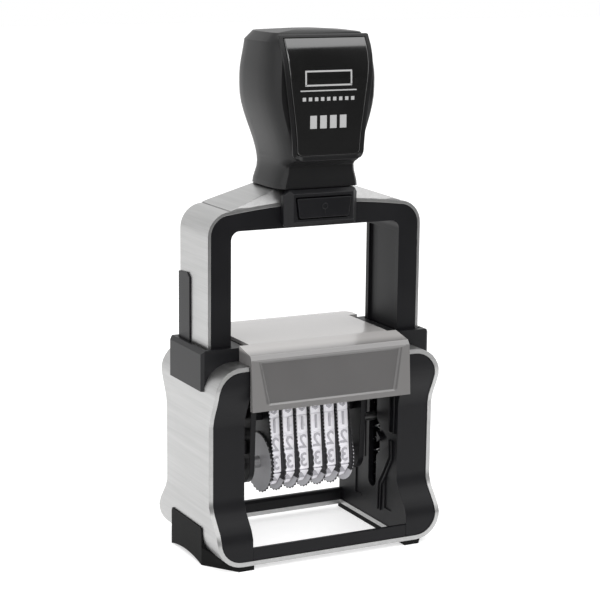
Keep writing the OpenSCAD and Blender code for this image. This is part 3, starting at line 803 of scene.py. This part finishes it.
class Belt:
    """The outline of a belt round the drum and the anvil's nose, by distance from the middle of its top"""

    def __init__(self, drum, nose):
        self.drum = drum
        self.nose = nose
        climb = math.hypot(nose_y, nose_z - axle_z)
        self.turn = math.atan2(nose_z - axle_z, -nose_y) + math.acos((drum - nose) / climb)
        self.bend = nose * (self.turn - math.pi / 2)
        self.run = math.sqrt(climb ** 2 - (drum - nose) ** 2)
        self.length = 2 * (nose_y + self.bend + self.run) + drum * 2 * (1.5 * math.pi - self.turn)

    def at(self, s):
        """Place (y, z) at a distance s from the middle of its top, and the angle it faces"""
        s = s % self.length
        if s > self.length / 2:
            (y, z), angle = self.at(self.length - s)
            return (-y, z), math.pi - angle
        if s < nose_y:
            return (-s, nose_z + self.nose), math.pi / 2
        s -= nose_y
        if s < self.bend:
            angle = math.pi / 2 + s / self.nose
            return (-nose_y + self.nose * math.cos(angle), nose_z + self.nose * math.sin(angle)), angle
        s -= self.bend
        away = (math.cos(self.turn), math.sin(self.turn))
        if s < self.run:
            share = s / self.run
            radius = self.nose + share * (self.drum - self.nose)
            return (-nose_y * (1 - share) + radius * away[0],
                    nose_z + share * (axle_z - nose_z) + radius * away[1]), self.turn
        angle = self.turn + (s - self.run) / self.drum
        return (self.drum * math.cos(angle), axle_z + self.drum * math.sin(angle)), angle


band_belt = Belt(drum_r, nose_r)


def on_belt(piece, belt, s):
    """Lays a piece that was made flat, facing -Y with its top up, on a belt at s"""
    (y, z), angle = belt.at(s)
    piece.rotation_euler = (angle - math.pi, 0, 0)
    piece.location = (0, y, z)
    apply_all(piece)


def cube(name, size, place=(0, 0, 0)):
    deselect()
    bpy.ops.mesh.primitive_cube_add(size=1, location=place)
    piece = bpy.context.object
    piece.name = name
    piece.scale = size
    apply_all(piece)
    return piece


def lettered(body, size, raise_by):
    """Raised characters as a mesh that faces -Y, centred, upright and read from the front"""
    deselect()
    bpy.ops.object.text_add()
    piece = bpy.context.object
    piece.data.body = body
    piece.data.size = size
    piece.data.extrude = raise_by
    piece.data.resolution_u = 2
    piece.data.offset = 0.00006
    piece.data.align_x = "CENTER"
    piece.data.align_y = "CENTER"
    piece.rotation_euler = (math.pi / 2, 0, 0)
    deselect()
    piece.select_set(True)
    bpy.context.view_layer.objects.active = piece
    bpy.ops.object.convert(target="MESH")
    piece = bpy.context.object
    bpy.ops.object.transform_apply(location=True, rotation=True, scale=True)
    return piece


pitch = band_belt.length / cells
blocks = []
for k in range(cells):
    flat = cube("block", (band_w, 2 * block_raise, pitch - cell_gap))
    shade = flat.modifiers.new("edges", "BEVEL")
    shade.width = 0.00014
    shade.segments = 1
    apply_all(flat)
    digit = lettered(str((first_digit + k) % 10), digit_size, digit_raise)
    digit.scale = (-digit_width, 1, 1)
    digit.location = (0, -block_raise, 0)
    apply_all(digit)
    edit(digit)
    bpy.ops.mesh.flip_normals()
    bpy.ops.object.mode_set(mode="OBJECT")
    flat.data.materials.append(band_rubber)
    digit.data.materials.clear()
    digit.data.materials.append(band_ink)
    both = join([flat, digit], "cell")
    on_belt(both, band_belt, k * pitch)
    blocks.append(both)
cell_ring = join(blocks, "cell_ring")

for i in range(1, 7):
    low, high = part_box(f"number_band_{i}")
    belt_piece = copy_of(f"number_band_{i}", f"number_band_{i}_belt")
    belt_piece.data.materials.append(band_rubber)
    cells_here = copied(cell_ring, f"cells_{i}", ((low[0] + high[0]) / 2, 0, 0))
    belt_piece = join([belt_piece, cells_here], f"number_band_{i}_belt")
    apply_all(belt_piece)
    bpy.ops.object.shade_smooth_by_angle(angle=math.radians(25))
    stands_for(belt_piece, f"number_band_{i}")
bpy.data.objects.remove(cell_ring)

# ---- Combs: black plates with finely toothed edges keep the bands apart.
# The first stands beside band 1, the others to the left of each disc, so the discs show only below them.
# Their black is partly painted shade: it stands for the shade that lies between the bands above the discs.

comb_t = 0.2 * MM
comb_foot = axle_z - 4.5 * MM
comb_teeth = 88
tooth_share = 0.55
tooth_d = 1.3 * MM
first_off = 0.2 * MM
inner_off = 1.1 * MM
last_off = 0.15 * MM
comb_belt = Belt(10.2 * MM, 0.8 * MM)
tooth_pitch = comb_belt.length / comb_teeth
deselect()
bpy.ops.mesh.primitive_cylinder_add(vertices=96, radius=comb_belt.drum, depth=comb_t,
                                    location=(0, 0, axle_z), rotation=(0, math.pi / 2, 0))
parts = [bpy.context.object]
for side in (-1, 1):
    deselect()
    bpy.ops.mesh.primitive_cylinder_add(vertices=32, radius=comb_belt.nose, depth=comb_t,
                                        location=(0, side * nose_y, nose_z),
                                        rotation=(0, math.pi / 2, 0))
    parts.append(bpy.context.object)
comb = join(parts, "comb")
apply_all(comb)
edit(comb)
bpy.ops.mesh.convex_hull()
select_points(comb, lambda place: place.z < comb_foot)
bpy.ops.transform.resize(value=(1, 1, 0), center_override=(0, 0, comb_foot))
bpy.ops.object.mode_set(mode="OBJECT")
teeth = [comb]
for k in range(comb_teeth):
    (_, tooth_z), _ = comb_belt.at(k * tooth_pitch)
    if tooth_z < comb_foot:
        continue
    tooth = cube("tooth", (comb_t, tooth_d, tooth_share * tooth_pitch))
    on_belt(tooth, comb_belt, k * tooth_pitch)
    teeth.append(tooth)
comb = join(teeth, "comb")
comb_places = [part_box(f"number_band_{i}")[0][0] - (first_off if i == 1 else inner_off) for i in range(1, 7)]
comb_places.append(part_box("number_band_6")[1][0] + last_off)
for i, x in enumerate(comb_places, 1):
    plate = copied(comb, f"comb_{i}", (x, 0, 0))
    plate.data.materials.append(comb_black_and_painted_shade)
    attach(plate, "carrier")
bpy.data.objects.remove(comb)

# ---- Thumbwheels: moulded drums with a toothed disc each, turned by a fingertip.


def paint_wheel(at):
    fine = at.noise(3200, 3, 0.6)
    worn = at.noise(260, 3, 0.6)
    across = at.axis(1)
    upward = at.axis(2) - axle_z
    radius = at.maths("SQRT", across * across + upward * upward)
    face = worn.mix(grey(0.42, (1, 0.99, 1.04)), grey(0.54, (1, 0.99, 1.04)))
    return {
        "Base Color": radius.above(9.9 * MM, 10.2 * MM).mix(face, grey(0.02)),
        "Roughness": fine * 0.15 + 0.36,
        "Normal": fine.bump(0.00003, 0.3)}


wheel_grey = material("wheel_grey", paint_wheel)
for i in range(1, 7):
    finished(f"thumbwheel_{i}", wheel_grey, 0.00008, 1)
finished("guard_disc", wheel_grey, 0.0002)

# ---- Springs: coils of drawn steel wire, one in each leg and a small one behind the lock button.


def coil(name, radius, wire, turns, length):
    """A coil round Z that starts at the origin"""
    deselect()
    bpy.ops.mesh.primitive_circle_add(vertices=8, radius=wire / 2, location=(radius, 0, wire / 2),
                                      rotation=(math.pi / 2, 0, 0))
    piece = bpy.context.object
    piece.name = name
    bpy.ops.object.transform_apply(location=True, rotation=True, scale=True)
    screw = piece.modifiers.new("turns", "SCREW")
    screw.steps = 20
    screw.render_steps = 20
    screw.iterations = turns
    screw.screw_offset = (length - wire) / turns
    apply_all(piece)
    edit(piece)
    bpy.ops.mesh.remove_doubles(threshold=0.000001)
    bpy.ops.mesh.select_all(action="DESELECT")
    bpy.ops.mesh.select_mode(type="VERT")
    bpy.ops.mesh.select_non_manifold()
    bpy.ops.mesh.edge_face_add()
    bpy.ops.mesh.select_all(action="SELECT")
    bpy.ops.mesh.normals_make_consistent(inside=False)
    bpy.ops.object.mode_set(mode="OBJECT")
    bpy.ops.object.shade_smooth()
    return piece


wire = 0.7 * MM
for side in ("left", "right"):
    low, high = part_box(f"return_spring_{side}")
    length = high[2] - low[2]
    spring = coil(f"return_coil_{side}", (high[0] - low[0] - wire) / 2, wire, 12, length)
    spring.location = ((low[0] + high[0]) / 2, (low[1] + high[1]) / 2, low[2])
    apply_all(spring)
    stands_for(spring, f"return_spring_{side}", drawn_steel)
    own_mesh(spring)

low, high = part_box("button_spring")
length = high[1] - low[1]
button_coil = coil("button_coil", 1.35 * MM, 0.4 * MM, 6, length)
button_coil.rotation_euler = (-math.pi / 2, 0, 0)
button_coil.location = (0, low[1], (low[2] + high[2]) / 2)
apply_all(button_coil)
stands_for(button_coil, "button_spring", drawn_steel)
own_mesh(button_coil)
